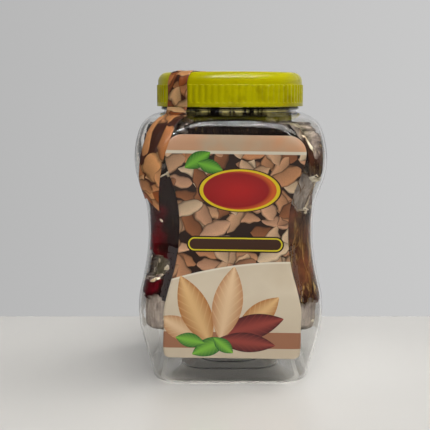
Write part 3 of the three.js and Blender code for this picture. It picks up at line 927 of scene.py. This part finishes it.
def pulpInset(angle, level):
    azimuth = math.degrees(angle) + 90
    c, s = math.cos(angle), math.sin(angle)
    lumps = noise.fractal(Vector((c * 2.6, s * 2.6, level * 0.05)), 1.0, 2.0, 3)
    fibres = noise.fractal(Vector((c * 21, s * 21, level * 0.075)), 0.9, 2.1, 3)
    crumb = noise.fractal(Vector((c * 26, s * 26, level * 0.5)), 1.0, 2.0, 3)
    inset = max(0.9 * lumps + 0.9 * fibres + 0.5 * crumb - 0.5, 0)
    for at, height, wide, tall, depth in standOffs:
        off = (azimuth - at + 180) % 360 - 180
        edge = (off / wide) ** 2 + ((level - height) / tall) ** 2
        if edge < 2.2:
            inset += depth * (1 - smooth(0.78, 1.02, edge + 0.4 * fibres + 0.35 * lumps + 0.45 * crumb))
    ragged = 51 + 4 * lumps + 3.5 * fibres + 2 * crumb
    inset += 2.6 * (1 - smooth(ragged - 1, ragged + 1, level))
    inset += 10 * (1 - smooth(29, 37, level)) ** 2
    inset += shoulderGap(level)
    if level > 154:                      # only clumps of it reach up into the neck
        clump = noise.noise(Vector((c * 6, s * 6, level * 0.16))) + 0.6 * fibres
        inset += 4 * smooth(155, 157.2, level) * smooth(-0.1, 0.12, clump)
    return inset + jar["wall"] + pulp["clear"]


def pulpPoint(angle, level, lift=0):
    return pulpAt(angle, level, pulpInset(angle, level) - lift)


def pulpAt(angle, level, inset):
    inset = max(inset, jar["wall"] + pulp["clear"] * 0.6)
    half = sideWidth(level) - inset
    if level > 152:
        half = min(half, jar["neckRadius"] - inset)
    return jarPoint(angle, half, level, inset)


def makePulp():
    low, top = pulp["bottom"], pulp["top"]
    rows = [mix(low, top, i / pulp["rows"]) for i in range(pulp["rows"] + 1)]
    outline = [(0, low), (0.3, low), (0.55, low), (0.8, low)] + [(1, z) for z in rows]
    outline += [(0.8, top), (0.5, top), (0, top)]
    block = spinOutline("pulpBlock", outline, pulp["around"])
    standOffAt, goldAt, darkAndShadeAt = [], [], []

    def shapeIt(co):
        r = math.hypot(co.x, co.y)
        angle = math.atan2(co.y, co.x)
        level = co.z
        inset = pulpInset(angle, level)
        p = pulpAt(angle, level, inset)
        bumps = noise.fractal(Vector((p.x, p.y, level)) * 0.09, 1.0, 2.0, 4)
        foot = 1 - smooth(low, low + 5, level)
        crown = smooth(top - 4, top, level)
        shrink = r * (1 - 0.12 * foot ** 2) * (1 - 0.1 * crown ** 2)
        z = p.z + (0.8 * bumps if level < 150 else 0)
        if r < 0.99:
            z += (3.0 * bumps + (1 - r) * 2.5) if level < 90 else (1.6 * bumps - 1.8)
        else:
            z += 1.6 * bumps * foot - 1.6 * crown
        hollow = inset - shoulderGap(level)
        standOffAt.append(smooth(2.2, 3.2, hollow) + smooth(4, 7, hollow))
        azimuth = math.degrees(angle) + 90
        wander = noise.noise(Vector((math.cos(angle) * 5, math.sin(angle) * 5, level * 0.1)))
        goldAt.append(smooth(-12, 12, 62 - abs((azimuth - 84 + 180) % 360 - 180) + 30 * wander))
        # Beside the front left corner a band is painted near black, as painted shade; towards the top the
        # pulp is darker too
        line = 1 - smooth(5, 9, abs(azimuth + 33 + 6 * wander))
        darkAndShadeAt.append(max(0.9 * line, smooth(128, 138, level + 8 * wander) * (1 if azimuth < 40 else 0.6)))
        return Vector((p.x * shrink, p.y * shrink, z))

    reshape(block, shapeIt)
    for name, values in (("standOff", standOffAt), ("gold", goldAt), ("dark", darkAndShadeAt)):
        layer = block.data.attributes.new(name, "FLOAT", "POINT")
        layer.data.foreach_set("value", values)
    tidy(block, 1e-7, 60)
    finishPiece(block, "jar", "fruit_pulp", pulpMeat(), "pulp_block")


def makeStrands(rng):
    deselect()
    bpy.ops.mesh.primitive_cylinder_add(vertices=5, radius=1, depth=1, end_fill_type="TRIFAN")
    template = named("strandTemplate")
    bpy.ops.object.mode_set(mode="EDIT")
    bpy.ops.mesh.select_mode(type="EDGE")    # else the ends' edges would be cut too
    bpy.ops.mesh.select_all(action="DESELECT")
    bpy.ops.object.mode_set(mode="OBJECT")
    for edge in template.data.edges:
        a, b = (template.data.vertices[i].co for i in edge.vertices)
        edge.select = abs(a.z - b.z) > 0.5
    bpy.ops.object.mode_set(mode="EDIT")
    bpy.ops.mesh.subdivide(number_cuts=8)
    bpy.ops.mesh.select_mode(type="VERT")
    bpy.ops.object.mode_set(mode="OBJECT")
    copies = []
    for _ in range(pulp["strands"]):
        azimuth = rng.uniform(8, 300)        # none in the smooth part at the front left
        level = rng.uniform(52, 130)
        length = rng.uniform(10, 34)
        swing = rng.uniform(-0.18, 0.18)
        thick = rng.uniform(0.13, 0.27)
        wander = rng.uniform(0, 50)
        copy = template.copy()
        copy.data = template.data.copy()
        bpy.context.scene.collection.objects.link(copy)
        rings = {}
        for vertex in copy.data.vertices:
            t = vertex.co.z + 0.5
            key = round(t, 3)
            if key not in rings:
                z = min(max(level + (t - 0.5) * length, 34), 156)
                drift = swing * (t - 0.5) + 0.05 * noise.noise(Vector((wander, t * 3, 0)))
                rings[key] = pulpPoint(math.radians(azimuth - 90) + drift, z, 0.15)
            place = rings[key]
            taper = thick * (1 - (2 * t - 1) ** 4 * 0.8)
            spin = math.atan2(vertex.co.y, vertex.co.x)
            ring = math.hypot(vertex.co.x, vertex.co.y)
            out = Vector((place.x, place.y, 0)).normalized()
            side = Vector((-out.y, out.x, 0))
            vertex.co = (place + (out * math.cos(spin) + side * math.sin(spin)) * taper * ring) * mm
        copies.append(copy)
    bpy.data.objects.remove(template)
    strands = joined(copies, "pulpStrands")
    finishPiece(strands, "jar", "fruit_pulp", strandFibre())


def joined(copies, name):
    deselect()
    for copy in copies:
        copy.select_set(True)
    bpy.context.view_layer.objects.active = copies[0]
    bpy.ops.object.join()
    piece = named(name)
    tidy(piece, 1e-8, 50)
    return piece


def makeFlakes(rng):
    spots = []
    for _ in range(pulp["flakes"]):
        azimuth, level = rng.uniform(0, 360), rng.uniform(36, 152)
        spots.append((azimuth, level, rng.uniform(0.5, 1.4), rng.uniform(0.9, 2.6)))
    for _ in range(pulp["tornFlakes"]):      # a torn edge of pith beside the front right corner
        t = math.radians(rng.uniform(-70, 75))
        azimuth, level = 40 + 12 * math.cos(t), 120 + 14 * math.sin(t)
        spots.append((azimuth, level, rng.uniform(0.7, 1.4), rng.uniform(1.6, 3.4)))
    for _ in range(pulp["leftFlakes"]):      # and round the hollows low on the left
        t = math.radians(rng.uniform(0, 360))
        reach = rng.uniform(0.5, 1.1)
        azimuth, level = -60 + 18 * reach * math.cos(t), 66 + 11 * reach * math.sin(t)
        spots.append((azimuth, level, rng.uniform(0.8, 1.7), rng.uniform(1, 2)))
    copies = []
    for azimuth, level, wide, tall in spots:
        deselect()
        bpy.ops.mesh.primitive_circle_add(vertices=9, radius=1, fill_type="TRIFAN")
        flake = bpy.context.object
        turn = rng.uniform(0, math.pi)
        for vertex in flake.data.vertices:
            jag = rng.uniform(0.65, 1.2)
            x = vertex.co.x * wide * jag
            z = vertex.co.y * tall * jag
            across = x * math.cos(turn) - z * math.sin(turn)
            up = x * math.sin(turn) + z * math.cos(turn)
            vertex.co = pulpPoint(math.radians(azimuth - 90) + across / 50, level + up, 0.35) * mm
        copies.append(flake)
    flakes = joined(copies, "pithFlakes")
    applyModifier(flakes, "SOLIDIFY", thickness=0.18 * mm, offset=0)
    finishPiece(flakes, "jar", "fruit_pulp", pithFlake())


makeCamera()
makeStage()
print("stage set")
rng = random.Random(pulp["seed"])
makeStrands(rng)
makeFlakes(rng)
print("strands and flakes made")
makeLabel("frontLabel", label["shift"], label["turn"], False, labelPrint("frontPrint"), "front_label")
makeLabel("backLabel", 0, 0, True, labelPrint("backPrint"), "back_label")
stripPaper = stripPrint()
makeStrip("sealStripJar", stripOnJar, rows=70, length=-66, start=-1, body="jar",
          material=stripPaper, node="seal_strip_jar")
makeStrip("sealStripLid", stripOnLid, rows=60, length=33, start=0, body="lid",
          material=stripPaper, node="seal_strip_lid")
print("labels and strip made")
makeLiner()
makePulp()
print("pulp made")
makeJar()
makeLid()
print("jar and lid made")
